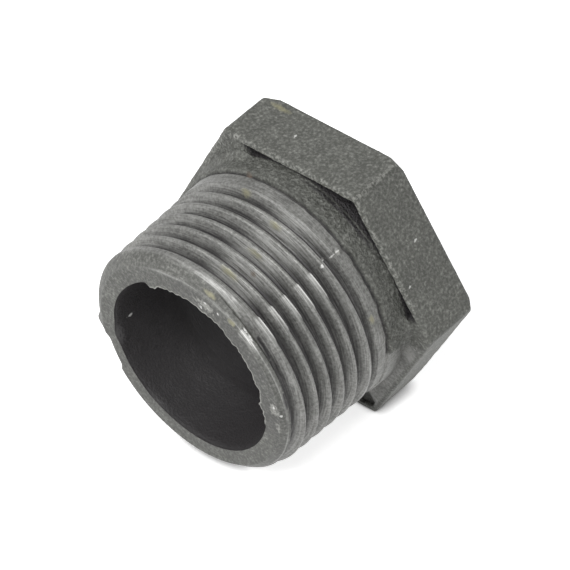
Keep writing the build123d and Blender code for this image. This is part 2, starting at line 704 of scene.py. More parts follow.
@dataclass(frozen=True)
class Root:
    """Rough root of the shank, and the undercut between it and the turned band.

    Attributes:
        sizes: The bushing's sizes.
        flaws: Where this casting isn't as drawn.
        rings: How many rows the root has.
        web: How far the metal that fills a corner flares out of the root, in mm.
        web_height: How far up the root it flares, in mm.
        wander: How far the root's end wanders along the axis, in mm.
        wander_degrees: Width of each wander.
        undercut: Height of the undercut's wall, in mm.
        steps: Rise, stand-out and zone of each row where the root ends, in mm.
    """

    sizes: Sizes = Sizes()
    flaws: Flaws = Flaws()
    rings: int = 12
    web: float = 0.8
    web_height: float = 1.3
    wander: float = 0.22
    wander_degrees: float = 6.0
    undercut: float = 0.12
    steps: tuple[tuple[float, float, Zone], ...] = (
        (0.0, 0.2, Zone.ROOT),
        (0.12, -0.12, Zone.UNDERCUT_WALL),
        (0.28, -0.12, Zone.UNDERCUT_FLOOR),
        (0.42, 0.0, Zone.BAND),
    )

    def rows(self, angles: np.ndarray) -> list[Row]:
        """Lay out the root and its end.

        Args:
            angles: Angles of the columns, in degrees.

        Returns:
            The rows, from the head to the turned band.
        """
        s, f = self.sizes, self.flaws
        turned = f.turned.at(angles, soft=4)
        web = np.maximum.reduce([arc.at(angles, soft=8) for arc in f.filled])
        rows = []
        for height in np.linspace(s.head, s.root_top - self.undercut, self.rings):
            near = max(0.0, 1 - (height - s.head) / self.web_height) ** 2
            flare = self.web * web * (1 - turned) * near
            radius = s.root_radius * (1 - turned) + s.crest(height) * turned + flare
            rows.append(Row(radius, height, Zone.ROOT))
        seed = 3.1
        places = [Vector((a / self.wander_degrees, seed, 0)) for a in angles.tolist()]
        end = s.root_top + self.wander * np.array([noise.noise(place) for place in places])
        sunk = f.step_depth * f.stepped.at(angles)
        for rise, out, zone in self.steps:
            down = sunk * min(rise / self.undercut, 1)
            rows.append(Row(s.crest(end + rise) + out * (1 - turned) - down, end + rise, zone))
        return rows


@dataclass(frozen=True)
class Shank:
    """Threaded shank, from the turned band over the male thread to the nose's end.

    Attributes:
        sizes: The bushing's sizes.
        flaws: Where this casting isn't as drawn.
        thread: The male thread.
        spare: How far the groove fades past its depth where it starts, in mm.
        closing: Heights between which the last groove closes up, in mm.
        burr: How far a burred crest stands up, in mm.
        burr_start: Heights between which the burrs start, in mm.
        burr_part: Part of each pitch that they take up.
        nose_start: Height above which the nose limits the shank, in mm.
        stump: Radius that the break leaves at the nose's end, in mm.
        chip: How much deeper the chipped stretch is, in mm.
        sound_rise: How much the sound stretch keeps, in mm.
        slope: How fast the break opens away from the end, and how much faster at the chip.
        bulge: Four times how far the rolled nose bulges past its chamfer, in mm.
        step_end: Heights between which the die's step runs out, in mm.
        step_soft: Degrees over which the step fades.
        step_waves: Swing in degrees and waves along the axis of the step's ragged line.
    """

    sizes: Sizes = Sizes()
    flaws: Flaws = Flaws()
    thread: Thread = Thread(
        pitch=INCH / 11,
        start=11.85,
        start_angle=90.0,
        steps=(0.03, 0.07, 0.12, 0.18, 0.25, 0.32, 0.378, 0.393, 0.41, 0.435, 0.465),
    )
    spare: float = 0.05
    closing: tuple[float, float] = (27.7, 28.0)
    burr: float = 0.18
    burr_start: tuple[float, float] = (15.9, 16.2)
    burr_part: tuple[float, float] = (0.3, 0.5)
    nose_start: float = 26.6
    stump: float = 15.35
    chip: float = 1.2
    sound_rise: float = 0.6
    slope: tuple[float, float] = (0.28, 0.4)
    bulge: float = 1.4
    step_end: tuple[float, float] = (13.3, 13.7)
    step_soft: float = 0.8
    step_waves: tuple[tuple[float, float], ...] = ((0.9, 4.1), (0.7, 9.7))

    def cut(self, height: np.ndarray, angles: np.ndarray) -> np.ndarray:
        """Depth of the groove below the crests.

        Args:
            height: Heights of shape (rows, columns).
            angles: Angles of the columns, in degrees.

        Returns:
            Depths of the same shape, in mm.
        """
        t = self.thread
        count, above = t.nearest(height, angles)
        fade = np.clip(1 - count, 0, 1) * (t.depth + self.spare)
        fade = np.where(count < 0, 2 * t.depth, fade)
        fade = fade + smooth(height - above, *self.closing) * t.depth
        burred = self.flaws.burred.at(angles)[None, :] * smooth(height, *self.burr_start)
        low, high = self.burr_part
        burred = burred * (above > low * t.pitch) * (above < high * t.pitch)
        return np.maximum(t.drop(above) - fade - self.burr * burred, 0)

    def nose(self, height: np.ndarray, angles: np.ndarray) -> np.ndarray:
        """How far out the nose lets the shank reach, with its chamfer, break and round.

        Args:
            height: Heights of shape (rows, columns).
            angles: Angles of the columns, in degrees.

        Returns:
            Radii of the same shape, in mm, and no limit below the nose.
        """
        s, f = self.sizes, self.flaws
        start = s.length - s.nose_chamfer
        limit = s.crest(start) - (height - start)
        chipped = f.chipped.at(angles)[None, :]
        stump = self.stump - self.chip * chipped + self.sound_rise * f.sound.at(angles)[None, :]
        stump = stump + (s.length - height) * (self.slope[0] + self.slope[1] * chipped)
        limit = limit + (np.minimum(limit, stump) - limit) * f.broken.at(angles)[None, :]
        along = (height - start) / s.nose_chamfer
        rolled = f.rolled.at(angles)[None, :] * (height > start)
        limit = limit + self.bulge * rolled * along * (1 - along)
        return np.where(height > self.nose_start, limit, np.inf)

    def sunk(self, height: np.ndarray, angles: np.ndarray) -> np.ndarray:
        """Where the die's step has sunk the shank, from 0 to 1."""
        stepped = self.flaws.stepped
        ragged = stepped.high + sum(swing * np.sin(height * waves) for swing, waves in self.step_waves)
        inside = within(angles[None, :], stepped.low, ragged, self.step_soft)
        return inside * (1 - smooth(height, *self.step_end))

    def rows(self, angles: np.ndarray) -> list[Row]:
        """Lay out the shank in rows that follow the thread.

        Args:
            angles: Angles of the columns, in degrees.

        Returns:
            The rows, from the turned band to the nose's end.
        """
        s, f = self.sizes, self.flaws
        heights = self.thread.heights(s.plain_top, s.length, angles)
        crest = s.crest(heights) - f.step_depth * self.sunk(heights, angles)
        radii = np.minimum(crest - self.cut(heights, angles), self.nose(heights, angles))
        burr_foot = 16.3
        radii = radii + f.nose_burr_out * f.nose_burr.at(angles[None, :], burr_foot, heights)
        return [Row(radius, height, Zone.SHANK) for radius, height in zip(radii, heights)]


@dataclass(frozen=True)
class Nose:
    """End face of the nose, in to the ragged edge of the bore.

    Attributes:
        sizes: The bushing's sizes.
        flaws: Where this casting isn't as drawn.
        rings: How many rows it has.
        edge_round: How much the bore's edge is widened by its round, in mm.
        waves: Height in mm of the slow waves in that edge.
        lip: How far the ragged lip stands in, in mm.
        tears: Height in mm of the tears in it.
        nicks: Angle, half width in degrees and depth in mm of each nick in the edge.
    """

    sizes: Sizes = Sizes()
    flaws: Flaws = Flaws()
    rings: int = 8
    edge_round: float = 0.12
    waves: float = 0.1
    lip: float = 0.42
    tears: float = 0.3
    nicks: tuple[tuple[float, float, float], ...] = (
        (3, 4, -0.5),
        (20, 3, -0.25),
        (113, 4, -0.4),
        (60, 5, 0.2),
        (188, 6, 0.4),
    )

    def bore_edge(self, angles: np.ndarray) -> np.ndarray:
        """Radius of the ragged edge where the bore meets the nose."""
        waves = noise_ring(angles, fineness=3, seed=0.4)
        tears = noise_ring(angles, fineness=22, seed=5.4)
        lip = self.flaws.torn_lip.at(angles) * (self.lip + self.tears * tears)
        edge = self.sizes.bore + self.edge_round + self.waves * waves - lip
        for angle, wide, deep in self.nicks:
            edge += deep * bell(past(angles, angle), 0, wide)
        return edge

    def rows(self, angles: np.ndarray, outer_edge: np.ndarray) -> list[Row]:
        """Lay out the end face.

        Args:
            angles: Angles of the columns, in degrees.
            outer_edge: Radius of the shank's end, one a column.

        Returns:
            The rows, inwards.
        """
        width = self.bore_edge(angles) - outer_edge
        parts = [k / self.rings for k in range(1, self.rings + 1)]
        return [Row(outer_edge + width * part, self.sizes.length, Zone.NOSE) for part in parts]


@dataclass(frozen=True)
class Grooves:
    """Where the points of a skin lie in the thread.

    Attributes:
        threaded: True at points that the groove reaches.
        phase: Distance above the nearest groove's centre, in pitches.
        centre: Height of that centre, in mm.
    """

    threaded: np.ndarray
    phase: np.ndarray
    centre: np.ndarray

    @classmethod
    def of_shell(cls, shell: Shell, thread: Thread) -> "Grooves":
        """Find where the points of a skin lie in a thread."""
        full_depth = 0.6
        count, above = thread.nearest(shell.height, shell.angles)
        threaded = shell.lies(Zone.SHANK) & (count > full_depth)
        return cls(threaded, above / thread.pitch, shell.height - above)


@dataclass(frozen=True)
class ShadeAndCrack:
    """Painted shade in the casting's grooves, hollow corners, undercut and on its nose, and the dark
    line of a crack, as shares by which the finish darkens.

    Attributes:
        sizes: The bushing's sizes.
        flaws: Where this casting isn't as drawn.
        groove: Share of painted shade in the thread's grooves.
        lit_grooves: Where the light reaches the flanks and the painted shade keeps to the grooves'
            centres.
        centre_band: Phases between which the painted shade ends there.
        thick_band: How much further out it ends elsewhere.
        unshaded_end: Heights between which the closed last groove loses its painted shade, in mm.
        pocket: Share of painted shade in the hollow corners.
        pocket_depth: Depths between which it starts there, in mm.
        shallow_loss: How much less lies in the nearly full corner.
        shade: Where the root beside a hollow corner takes painted shade too.
        shade_share: Share there.
        shade_height: Heights past the rim between which it starts, in mm.
        undercut: Share of painted shade in the undercut.
        nose: Share of painted shade on the nose's end, and more from -20 to 100 degrees.
        nose_shaded: Where there is more.
        nose_band: Heights between which the painted shade on the nose's band starts, in mm.
        seam: Share in the crack below the last crest.
        seam_arc: Where that crack runs.
        seam_top: Height of its far end, in mm.
        seam_fall: How far it falls to its near end, in mm, and between which angles.
        seam_wander: How far it wanders along the axis, in mm.
        seam_wide: Half width of the crack, in mm.
        seam_gaps: Noise below which the crack is closed.
    """

    sizes: Sizes = Sizes()
    flaws: Flaws = Flaws()
    groove: float = 0.95
    lit_grooves: Arc = Arc(58.0, 84.0, 14.0)
    centre_band: tuple[float, float] = (0.02, 0.14)
    thick_band: tuple[float, float] = (0.03, 0.18)
    unshaded_end: tuple[float, float] = (27.5, 27.8)
    pocket: float = 1.25
    pocket_depth: tuple[float, float] = (0.15, 0.5)
    shallow_loss: float = 0.6
    shade: Arc = Arc(44.0, 78.0, 24.0)
    shade_share: float = 1.2
    shade_height: tuple[float, float] = (0.6, 0.25)
    undercut: float = 0.8
    nose: tuple[float, float] = (0.2, 0.2)
    nose_shaded: Arc = Arc(-20.0, 100.0, 15.0)
    nose_band: tuple[float, float] = (27.4, 28.0)
    seam: float = 1.5
    seam_arc: Arc = Arc(6.0, 44.0, 4.0)
    seam_top: float = 28.2
    seam_fall: tuple[float, float, float] = (0.75, 10.0, 38.0)
    seam_wander: float = 0.1
    seam_wide: float = 0.13
    seam_gaps: float = -0.3

    def in_grooves(self, shell: Shell, grooves: Grooves) -> np.ndarray:
        """How much painted shade the thread's grooves take."""
        # Painted shade in the grooves, kept to their centres where the light reaches the flanks.
        thick = (1 - self.lit_grooves.at(shell.angles))[None, :]
        low = self.centre_band[0] + self.thick_band[0] * thick
        high = self.centre_band[1] + self.thick_band[1] * thick
        undarkened = smooth(np.abs(grooves.phase), low, high)
        undarkened = np.maximum(undarkened, smooth(grooves.centre, *self.unshaded_end))
        # Painted shade on the thread's band by the nose.
        band = self.nose[0] * smooth(shell.height, *self.nose_band)
        return np.where(grooves.threaded, np.maximum(self.groove * (1 - undarkened), band), 0)

    def round_pockets(self, shell: Shell, turned: np.ndarray) -> np.ndarray:
        """How much painted shade the hollow corners, the root beside them and the undercut take."""
        # Painted shade in the hollow corners, on the root beside them and in the undercut.
        sunken = self.sizes.head - shell.height
        less = 1 - self.shallow_loss * self.flaws.shallow.at(shell.angles)[None, :]
        pocket = self.pocket * smooth(sunken, *self.pocket_depth) * less
        shade = self.shade.at(shell.angles)[None, :] * smooth(-sunken, *self.shade_height)
        darkening = np.where(shell.lies(Zone.POCKET), pocket, 0)
        darkening = np.where(shell.lies(Zone.ROOT), self.shade_share * shade, darkening)
        undercut = shell.lies(Zone.UNDERCUT_WALL, Zone.UNDERCUT_FLOOR)
        return np.where(undercut, self.undercut * (1 - turned), darkening)

    def in_seam(self, shell: Shell) -> np.ndarray:
        """How dark the crack below the last crest is."""
        fall, near, far = self.seam_fall
        height = self.seam_top - fall * smooth(shell.angles - 360, near, far)
        height = height + self.seam_wander * noise_ring(shell.angles, fineness=14, seed=2.2)
        is_open = noise_ring(shell.angles, fineness=60, seed=7.7) > self.seam_gaps
        share = self.seam * self.seam_arc.at(shell.angles) * is_open
        crack = share[None, :] * bell(shell.height, height[None, :], self.seam_wide)
        return crack * shell.lies(Zone.SHANK)

    def over(self, shell: Shell, grooves: Grooves, turned: np.ndarray) -> np.ndarray:
        """How dark each point of the casting is, by painted shade and the crack.

        Args:
            shell: The casting's skin.
            grooves: Where its points lie in the thread.
            turned: Where the lathe took the root off, one value a column.

        Returns:
            Shares of the skin's shape, which may pass 1.
        """
        # Painted shade on the nose's end, stronger from -20 to 100 degrees.
        nose = self.nose[0] + self.nose[1] * self.nose_shaded.at(shell.angles)[None, :]
        darkening = self.in_grooves(shell, grooves) + self.round_pockets(shell, turned)
        darkening = np.where(shell.lies(Zone.NOSE), nose, darkening)
        return np.maximum(darkening, self.in_seam(shell))


@dataclass(frozen=True)
class BareMetalAndHighlights:
    """Where the casting is scuffed or broken down to the metal, and where painted highlights lie on
    the thread's crests and flanks, the rim, a head corner and the ragged lip.

    Attributes:
        flaws: Where this casting isn't as drawn.
        burr_start: Heights between which the burred crests start, in mm.
        burr_highlight_arc: Angles between which the painted highlight on them grows, and where it
            stops.
        burr_highlight: Share of that painted highlight over a crest, and down its edge.
        crest_phase: Phase past which a crest starts.
        edge_highlight: Phases between which the painted highlight down its edge lies.
        glint: Share, phase and width in pitches of the painted highlight along every crest's edge.
        lit: Where the flanks take a painted highlight.
        lit_share: Share there.
        lit_flank: Phases between which that painted highlight starts, and where it ends.
        upright: Share of the painted highlight on the head's upright corner, and its half width in
            degrees.
        upright_angle: Angle of that corner.
        rim: Share of the painted highlight on the rim's edge.
        rim_highlight_arc: Where the rim takes it.
        lip: Share of the painted highlight along the ragged lip.
        spots: Share in the scuffed spots.
        rubbed_spots: Metal scuffed half bright, where the lathe's cuts stopped.
        fresh_breaks: Torn metal, which is still bright.
    """

    flaws: Flaws = Flaws()
    burr_start: tuple[float, float] = (15.9, 16.2)
    burr_highlight_arc: tuple[float, float, float] = (34.0, 48.0, 50.8)
    burr_highlight: tuple[float, float] = (0.4, 1.8)
    crest_phase: float = 0.34
    edge_highlight: tuple[float, float] = (0.36, 0.45)
    glint: tuple[float, float, float] = (0.3, 0.4, 0.03)
    lit: Arc = Arc(60.0, 80.0, 16.0)
    lit_share: float = 0.42
    lit_flank: tuple[float, float, float] = (0.03, 0.12, 0.38)
    upright: tuple[float, float] = (0.48, 1.6)
    upright_angle: float = 60.0
    rim: float = 0.41
    rim_highlight_arc: Arc = Arc(10.0, 150.0, 10.0)
    lip: float = 0.9
    spots: float = 0.7
    rubbed_spots: tuple[Spot, ...] = (
        Spot(51.2, 14.0, 0.45, 0.5),
        Spot(49.6, 12.4, 0.45, 1.3),
        Spot(4.0, 28.8, 1.8, 0.6, 14.0, 1.0),
        Spot(-8.0, 28.8, 1.1, 0.6, 14.4, 0.6),
        Spot(72.0, 29.0, 2.2, 0.4, 13.6, 0.9),
        Spot(-8.0, 8.6, 0.4, 0.6),
        Spot(-8.0, 9.9, 0.35, 0.7),
    )
    fresh_breaks: tuple[Spot, ...] = (
        Spot(72.6, 29.0, 0.4, 0.3, 14.0, 0.3),
        Spot(74.0, 29.0, 0.4, 0.3, 12.8, 0.35),
        Spot(69.5, 29.0, 0.35, 0.3, 13.3, 0.25),
        Spot(64.0, 29.0, 0.3, 0.3, 14.2, 0.25),
        Spot(53.0, 28.6, 0.5, 0.15, 15.0, 0.2),
        Spot(49.5, 28.4, 0.8, 0.15),
        Spot(45.0, 28.4, 0.8, 0.15),
        Spot(49.3, 15.2, 0.35, 0.25),
        Spot(50.8, 14.0, 0.22, 0.45),
        Spot(49.7, 13.1, 0.2, 0.5),
        Spot(50.2, 12.3, 0.2, 0.55),
        Spot(5.5, 29.0, 0.4, 0.3, 14.0, 0.3),
        Spot(1.5, 28.8, 0.35, 0.3, 14.9, 0.3),
        Spot(-9.0, 28.8, 0.35, 0.2, 14.6, 0.35),
        Spot(34.2, 3.3, 0.3, 0.3),
        Spot(26.6, 4.4, 0.28, 0.28),
        Spot(21.3, 7.2, 0.25, 0.25),
        Spot(98.0, 4.0, 0.25, 0.25),
    )

    def on_crests(self, shell: Shell, grooves: Grooves) -> np.ndarray:
        """How much painted highlight the thread's crests and flanks take."""
        # All painted highlights: a line along every crest's edge, a glint over the burred crests and
        # down their edges, and a sheen on the flanks from 60 to 80 degrees.
        phase, threaded = grooves.phase, grooves.threaded
        low, high, stop = self.burr_highlight_arc
        past_start = shell.angles - 360
        start = smooth(past_start, low, high) * (past_start < stop)
        burr_highlight = start[None, :] * smooth(shell.height, *self.burr_start)
        over, down = self.burr_highlight
        share, middle, width = self.glint
        bare_and_highlight = np.where(threaded, share * bell(phase, middle, width), 0)
        crest = threaded & (np.abs(phase) > self.crest_phase)
        bare_and_highlight = np.maximum(bare_and_highlight, np.where(crest, over * burr_highlight, 0))
        edge_highlight = threaded & (phase > self.edge_highlight[0]) & (phase < self.edge_highlight[1])
        bare_and_highlight = np.maximum(bare_and_highlight, np.where(edge_highlight, down * burr_highlight, 0))
        near, full, end = self.lit_flank
        lit = self.lit_share * self.lit.at(shell.angles)[None, :] * smooth(-phase, near, full)
        return np.maximum(bare_and_highlight, np.where(threaded & (phase > -end), lit, 0))

    def on_head(self, shell: Shell) -> np.ndarray:
        """How much painted highlight the head's corner, the rim and the ragged lip take, and how
        bright the scuffed spots are.
        """
        # Painted highlights on the head's corner at 60 degrees, the rim's edge and the ragged lip; the
        # scuffed spots are the metal's own.
        share, width = self.upright
        corner = share * bell(past(shell.angles, self.upright_angle), 0, width)[None, :]
        rim = self.rim * self.rim_highlight_arc.at(shell.angles)[None, :]
        bare_and_highlight = np.where(shell.lies(*OUTSIDE_RIM), corner, 0)
        bare_and_highlight = np.where(shell.lies(Zone.RIM_EDGE, Zone.RIM_TOP), rim, bare_and_highlight)
        inner_edge = np.arange(len(shell.zones))[:, None] == len(shell.zones) - 1
        lip = self.lip * self.flaws.torn_lip.at(shell.angles)[None, :] * inner_edge
        return np.maximum(np.maximum(bare_and_highlight, lip), self.spots * shell.painted(self.rubbed_spots))


@dataclass(frozen=True)
class Stains:
    """Dried cutting oil, rust and a chip of paint.

    Attributes:
        oil: Dried cutting oil.
        oil_share: How strong it is.
        paint: A tan chip stuck to the top flat.
        rust: Flecks of rust.
    """

    oil: tuple[Spot, ...] = (
        Spot(16.0, 12.7, 0.9, 0.4),
        Spot(76.0, 15.6, 1.2, 0.3),
        Spot(72.0, 20.3, 1.5, 0.25),
        Spot(73.0, 24.8, 1.8, 0.3),
        Spot(72.0, 28.4, 1.4, 0.3),
        Spot(56.0, 28.9, 0.8, 0.4, 14.9, 0.35),
        Spot(99.0, 13.5, 1.0, 0.35),
    )
    oil_share: float = 0.9
    paint: tuple[Spot, ...] = (Spot(112.0, 1.2, 1.9, 0.5),)
    rust: tuple[Spot, ...] = (Spot(104.0, 11.2, 0.6, 0.3), Spot(66.0, 22.6, 0.5, 0.2))

    def olive(self, shell: Shell) -> np.ndarray:
        """How strongly oil or paint tints each point."""
        return np.maximum(self.oil_share * shell.painted(self.oil), shell.painted(self.paint))


@dataclass(frozen=True)
class SandSkin:
    """Cast skin: where it is left, and how uneven the mould made it.

    Attributes:
        grit: Height of the unevenness, in mm.
        each: Share of that height which lumps and grains each have.
        lump_mm: Size of its lumps.
        sand_mm: Size of its grains.
        side_share: Share of it on the flats.
        root_share: Share of it on the root.
        fine: How coarse the grain looks away from the root and the hollow corners.
        nose_band: Heights between which the thread turns into cast skin, in mm.
        nose_share: How much of the nose's band looks cast.
    """

    grit: float = 0.07
    each: float = 0.9
    lump_mm: float = 2.4
    sand_mm: float = 0.7
    side_share: float = 0.6
    root_share: float = 2.2
    fine: float = 0.25
    nose_band: tuple[float, float] = (27.4, 28.0)
    nose_share: float = 0.85

    def over(self, shell: Shell, turned: np.ndarray) -> np.ndarray:
        """How much of each point outside the thread is cast skin, from 0 to 1."""
        whole = shell.lies(Zone.FACE, Zone.BEVEL, *OUTSIDE_RIM, Zone.NOSE)
        part = shell.lies(*INSIDE_RIM, Zone.ROOT, Zone.UNDERCUT_WALL)
        return np.where(whole, 1.0, np.where(part, 1 - turned, 0.0))

    def roughen(self, shell: Shell, cast: np.ndarray) -> None:
        """Push the points of a skin by the mould's unevenness.

        Args:
            shell: The skin to change.
            cast: How much of each point is cast skin.
        """
        places = shell.points()
        lumps = turbulence(places, self.lump_mm, octaves=3, seed=5.0).reshape(cast.shape)
        sand = turbulence(places, self.sand_mm, octaves=2, seed=11.0).reshape(cast.shape)
        push = cast * self.grit * self.each * (lumps + sand)
        side, root = shell.lies(*OUTSIDE_RIM), shell.lies(Zone.ROOT)
        share = self.side_share * side + self.root_share * root
        shell.radius += push * share
        shell.height += push * shell.lies(Zone.BEVEL, *INSIDE_RIM)

    def with_nose(self, shell: Shell, cast: np.ndarray, grooves: Grooves) -> np.ndarray:
        """Add the cast look of the nose's band to the thread."""
        band = self.nose_share * smooth(shell.height, *self.nose_band)
        return np.where(grooves.threaded, band, cast)

    def coarse(self, shell: Shell, cast: np.ndarray) -> np.ndarray:
        """How coarse the grain looks, from 0 to 1."""
        return np.where(shell.lies(Zone.ROOT, *INSIDE_RIM), 1.0, self.fine) * cast


@dataclass(frozen=True)
class Casting:
    """Outside of the bushing: head, root, threaded shank and nose, with its scuffs, stains, painted
    shade and painted highlights.

    Attributes:
        sizes: The bushing's sizes.
        flaws: Where this casting isn't as drawn.
        head: The hexagonal head.
        root: The rough root and its undercut.
        shank: The threaded shank.
        nose: The end face.
        skin: The cast skin.
        darkening: Painted shade, and the dark line of a crack.
        bare_and_highlight: Scuffed and broken metal, and painted highlights.
        stains: Stains.
    """

    sizes: Sizes = Sizes()
    flaws: Flaws = Flaws()
    head: Head = Head()
    root: Root = Root()
    shank: Shank = Shank()
    nose: Nose = Nose()
    skin: SandSkin = SandSkin()
    darkening: ShadeAndCrack = ShadeAndCrack()
    bare_and_highlight: BareMetalAndHighlights = BareMetalAndHighlights()
    stains: Stains = Stains()

    def shell(self) -> Shell:
        """Work out the whole outside, with its unevenness and marks."""
        angles = self.sizes.columns()
        shank = self.shank.rows(angles)
        rows = self.head.outer_rows(angles) + self.head.pocket_rows(angles)
        rows += self.root.rows(angles) + shank + self.nose.rows(angles, shank[-1].radius)
        shell = Shell.of_rows(angles, rows, Zone.SHANK, self.shank.thread.rows_a_turn)
        self.mark_wear_and_light(shell)
        return shell

    def mark_wear_and_light(self, shell: Shell) -> None:
        """Roughen the skin, and mark where each finish, the painted shade and the painted highlights
        go.
        """
        turned = self.flaws.turned.at(shell.angles, soft=3)[None, :]
        cast = self.skin.over(shell, turned)
        self.skin.roughen(shell, cast)
        grooves = Grooves.of_shell(shell, self.shank.thread)
        cast = self.skin.with_nose(shell, cast, grooves)
        shell.marks = {
            Mark.CAST: cast,
            Mark.BRIGHT: shell.painted(self.bare_and_highlight.fresh_breaks),
            Mark.OLIVE: self.stains.olive(shell),
            Mark.RUST: shell.painted(self.stains.rust),
            Mark.GRIME: self.darkening.over(shell, grooves, turned),
            Mark.EDGE: self.bare_and_highlight.on_crests(shell, grooves),
            Mark.COARSE: self.skin.coarse(shell, cast),
            Mark.RUBBED: self.bare_and_highlight.on_head(shell),
        }

    def build(self, iron: bpy.types.Material) -> bpy.types.Object:
        """Make the piece and dress it."""
        piece = self.shell().build("casting", True)
        piece.data.materials.append(iron)
        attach(piece, "root")
        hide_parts(NODE)
        return piece


@dataclass(frozen=True)
class Bore:
    """Inside of the bushing: countersunk mouth, female thread and waterway.

    Attributes:
        sizes: The bushing's sizes.
        thread: The female thread.
        thread_end: Height where its last full groove ends, in mm.
        major: Radius of the thread's grooves, in mm.
        spare: How far the groove fades past its depth where it ends, in mm.
        rings: How many rows the waterway has.
        easing: Length over which the tapping hole opens into the waterway, in mm.
        lip: Length over which the waterway meets the nose's ragged edge, in mm.
        lumps: Height of the waterway's unevenness, in mm.
        lump_mm: Size of its lumps.
        fine: How coarse its grain looks.
        soot: Share of soot on the thread, and in the waterway.
        scale_fleck: A fleck of scale.
        fleck_share: How bright that is.
    """

    sizes: Sizes = Sizes()
    thread: Thread = Thread(
        pitch=INCH / 14,
        start=14.0 - 9 * INCH / 14,
        start_angle=90.0,
        steps=(0.04, 0.1, 0.18, 0.26, 0.33, 0.4),
    )
    thread_end: float = 14.0
    major: float = 13.2205
    spare: float = 0.05
    rings: int = 25
    easing: float = 4.0
    lip: float = 0.9
    lumps: float = 0.06
    lump_mm: float = 2.0
    fine: float = 0.3
    soot: tuple[float, float] = (1.25, 1.4)
    scale_fleck: tuple[Spot, ...] = (Spot(181.5, 26.4, 0.35, 1.1),)
    fleck_share: float = 0.8

    def thread_rows(self, angles: np.ndarray) -> list[Row]:
        """Lay out the countersunk mouth and the female thread.

        Args:
            angles: Angles of the columns, in degrees.

        Returns:
            The rows, from the mouth inwards.
        """
        s, t = self.sizes, self.thread
        heights = t.heights(0.0, s.drill_depth, angles)
        _, above = t.nearest(heights, angles)
        past_end = (heights - above - self.thread_end) / t.pitch
        fade = np.clip(past_end, 0, 1) * (t.depth + self.spare)
        groove = self.major - fade - (t.depth - t.drop(above))
        radii = np.maximum(np.maximum(s.drill, groove), s.mouth - heights)
        return [Row(radius, height, Zone.FEMALE) for radius, height in zip(radii, heights)]

    def waterway_rows(self, nose_edge: np.ndarray) -> list[Row]:
        """Lay out the plain bore.

        Args:
            nose_edge: Radius of the bore's edge at the nose, one a column.

        Returns:
            The rows, from the tapping hole to the nose.
        """
        s = self.sizes
        rows = []
        for part in np.linspace(0, 1, self.rings + 1)[1:]:
            height = s.drill_depth + (s.length - s.drill_depth) * part
            opened = min((height - s.drill_depth) / self.easing, 1.0)
            plain = s.drill + (s.bore - s.drill) * opened
            lip = smooth(np.array(height), s.length - self.lip, s.length)
            rows.append(Row(plain + (nose_edge - plain) * lip, height, Zone.WATERWAY))
        return rows

    def shell(self, nose_edge: np.ndarray) -> Shell:
        """Work out the whole inside, with its unevenness and marks."""
        angles = self.sizes.columns()
        rows = self.thread_rows(angles) + self.waterway_rows(nose_edge)
        shell = Shell.of_rows(angles, rows, Zone.FEMALE, self.thread.rows_a_turn)
        threaded = shell.lies(Zone.FEMALE)
        zero = np.zeros(shell.radius.shape)
        cast = zero + shell.lies(Zone.WATERWAY)
        first, even_rows = int(threaded.sum()), 2
        cast[first : first + even_rows] = 0
        cast[-1] = 0
        lumps = turbulence(shell.points(), self.lump_mm, octaves=3, seed=2.0).reshape(cast.shape)
        shell.radius += self.lumps * lumps * cast
        shell.marks = {
            Mark.CAST: cast,
            Mark.BRIGHT: self.fleck_share * shell.painted(self.scale_fleck),
            Mark.OLIVE: zero,
            Mark.RUST: zero,
            Mark.GRIME: zero + np.where(threaded, *self.soot),
            Mark.EDGE: zero,
            Mark.COARSE: self.fine * cast,
            Mark.RUBBED: zero,
        }
        return shell

    def build(self, iron: bpy.types.Material, nose_edge: np.ndarray) -> bpy.types.Object:
        """Make the piece and dress it.

        Args:
            iron: The finish.
            nose_edge: Radius of the bore's edge at the nose, one a column.

        Returns:
            The new piece.
        """
        piece = self.shell(nose_edge).build("bore", False)
        piece.data.materials.append(iron)
        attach(piece, "root")
        return piece


# --- Finishes ----------------------------------------------------------------------------


